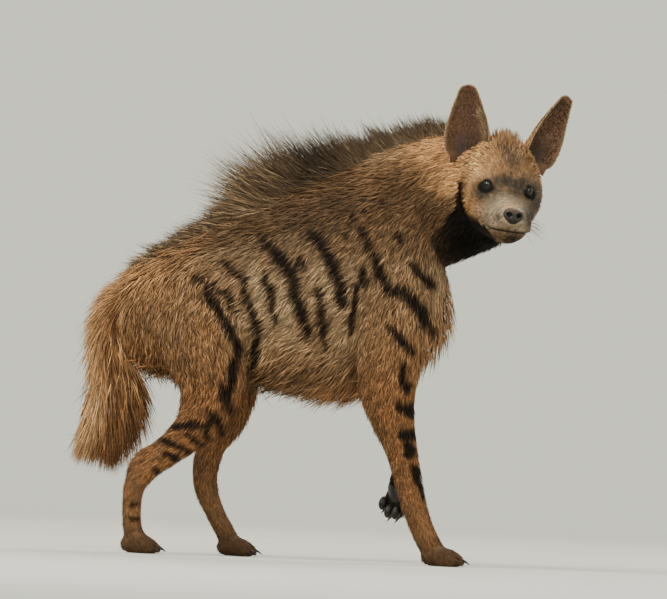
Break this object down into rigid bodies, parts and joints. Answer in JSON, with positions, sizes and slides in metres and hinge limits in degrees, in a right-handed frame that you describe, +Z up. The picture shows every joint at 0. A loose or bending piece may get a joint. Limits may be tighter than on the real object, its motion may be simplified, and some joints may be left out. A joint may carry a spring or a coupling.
{
  "type": "striped hyena figure",
  "caption": "Life-size striped hyena, walking with one forefoot lifted and its head turned to its right, with a tall mane and a bushy tail.",
  "frame": {"origin": "on the floor, below the middle of the whole figure's box", "axes": "+X from the tail towards the breast, +Y towards the animal's left side, +Z up"},
  "size_m": [0.8624, 0.394, 0.8679],
  "materials": {
    "coat": "rough hair, tawny with black stripes",
    "ear": "matte, thin short hair",
    "eye": "wet gloss"
  },
  "bodies": {
    "root": {"torso": "coat", "neck": "coat", "head": "coat", "tail": "coat", "ear_right": "ear", "eye_right": "eye", "ear_left": "ear", "eye_left": "eye", "fore_right_upper_arm": "coat", "fore_right_forearm": "coat", "fore_right_paw": "coat", "fore_left_upper_arm": "coat", "fore_left_forearm": "coat", "fore_left_paw": "coat", "hind_right_thigh": "coat", "hind_right_shank": "coat", "hind_right_foot": "coat", "hind_left_thigh": "coat", "hind_left_shank": "coat", "hind_left_foot": "coat"}
  },
  "joints": []
}
